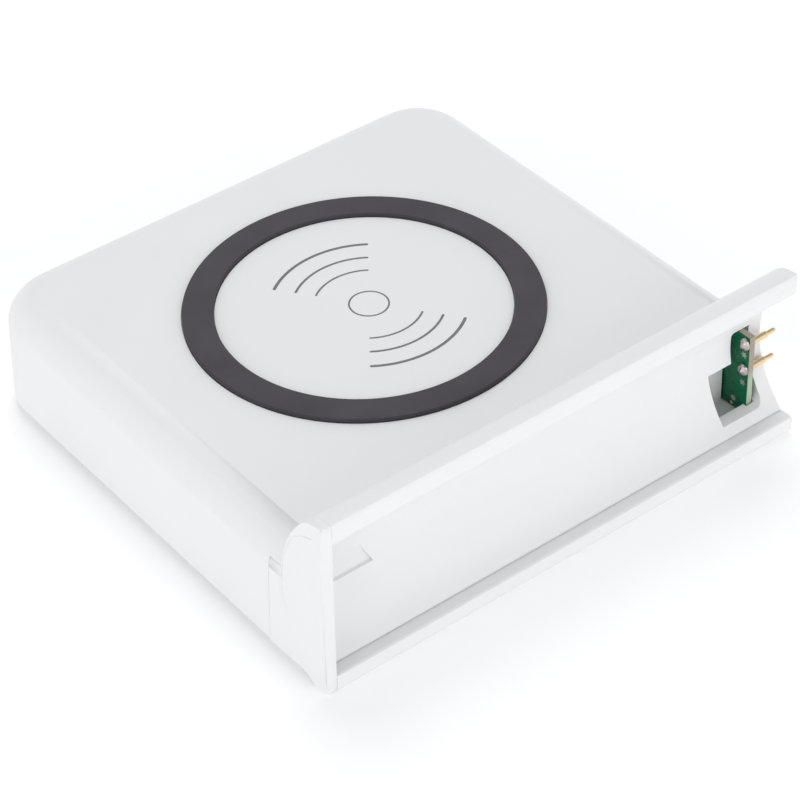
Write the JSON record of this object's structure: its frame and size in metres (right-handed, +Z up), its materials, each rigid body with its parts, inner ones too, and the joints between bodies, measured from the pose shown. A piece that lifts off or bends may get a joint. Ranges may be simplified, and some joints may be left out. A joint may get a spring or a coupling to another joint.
{
  "type": "wireless charging pad",
  "caption": "White square wireless charging module that snaps onto a round rail, with a dark anti-slip ring and spring contact pins at one end.",
  "frame": {"origin": "middle of the bounding box's base, level with the undersides of the feet and the lower lip", "axes": "+X along the rail from the end cap to the contact pins, +Y from the rail saddle to the pad's back edge, +Z up out of the charging face"},
  "size_m": [0.1404, 0.139, 0.0464],
  "materials": {
    "white_shell": "fine satin",
    "white_inner": "matt",
    "dark_rubber": "matt silicone",
    "grey_rubber": "matt",
    "circuit_board": "green solder mask",
    "gold": "polished gold plate",
    "solder": "bright solder",
    "steel": "zinc plated",
    "copper": "enamelled",
    "ferrite": "sintered",
    "chip_black": "moulded epoxy",
    "ceramic": "fired",
    "red_wire": "insulation",
    "black_wire": "insulation"
  },
  "bodies": {
    "module": {"anti_slip_ring": "dark_rubber", "board_screw_1": "steel", "board_screw_2": "steel", "bottom_cover": "white_inner", "bridge_driver_chip": "chip_black", "coil_carrier": "white_inner", "contact_board": "circuit_board", "controller_chip": "chip_black", "cover_screw_1": "steel", "cover_screw_2": "steel", "cover_screw_3": "steel", "cover_screw_4": "steel", "end_cap": "white_shell", "ferrite_shield": "ferrite", "lead_socket": "white_inner", "main_board": "circuit_board", "pin_barrel_1": "gold", "pin_barrel_2": "gold", "pin_spring_1": "steel", "pin_spring_2": "steel", "power_inductor": "ferrite", "rail_saddle": "white_shell", "regulator_chip": "chip_black", "resonance_capacitor_1": "ceramic", "resonance_capacitor_2": "ceramic", "resonance_capacitor_3": "ceramic", "resonance_capacitor_4": "ceramic", "return_lead": "black_wire", "rubber_foot_1": "grey_rubber", "rubber_foot_2": "grey_rubber", "rubber_foot_3": "grey_rubber", "rubber_foot_4": "grey_rubber", "saddle_screw_1": "steel", "saddle_screw_2": "steel", "saddle_screw_3": "steel", "solder_joint_1": "solder", "solder_joint_2": "solder", "supply_lead": "red_wire", "top_housing": "white_shell", "transmitter_coil": "copper"},
    "plunger_1": {"pin_plunger_1": "gold"},
    "plunger_2": {"pin_plunger_2": "gold"}
  },
  "joints": [
    {"name": "pin_1_press", "type": "slide", "parent": "module", "child": "plunger_1", "axis": [1, 0, 0], "range_m": [-0.0012, 0], "stiffness_N_per_m": 300, "springref_m": 0.0005, "deforming": ["pin_spring_1"]},
    {"name": "pin_2_press", "type": "slide", "parent": "module", "child": "plunger_2", "axis": [1, 0, 0], "range_m": [-0.0012, 0], "stiffness_N_per_m": 300, "springref_m": 0.0005, "deforming": ["pin_spring_2"]}
  ]
}
